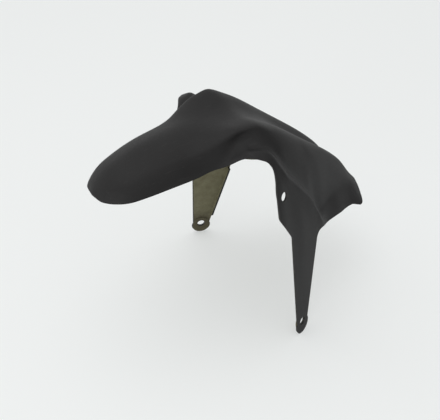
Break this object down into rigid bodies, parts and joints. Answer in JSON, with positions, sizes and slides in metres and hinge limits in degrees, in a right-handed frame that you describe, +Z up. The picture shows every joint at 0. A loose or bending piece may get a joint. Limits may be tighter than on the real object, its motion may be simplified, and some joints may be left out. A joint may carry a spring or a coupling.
{
  "type": "motorcycle front mudguard",
  "caption": "Moulded motorcycle front mudguard shell with a rounded front tongue, raised shoulders, a blunt tail and flat side legs drilled for bolts.",
  "frame": {"origin": "midway between the lower bolt holes of the left and right legs, on the part's middle plane", "axes": "+X forward along the tongue, +Y to the rider's left, +Z up"},
  "size_m": [0.4026, 0.2756, 0.3088],
  "materials": {
    "moulding": "fine matte dark grey outside, raw olive laminate inside"
  },
  "bodies": {
    "root": {"mudguard_shell": "moulding"}
  },
  "joints": []
}
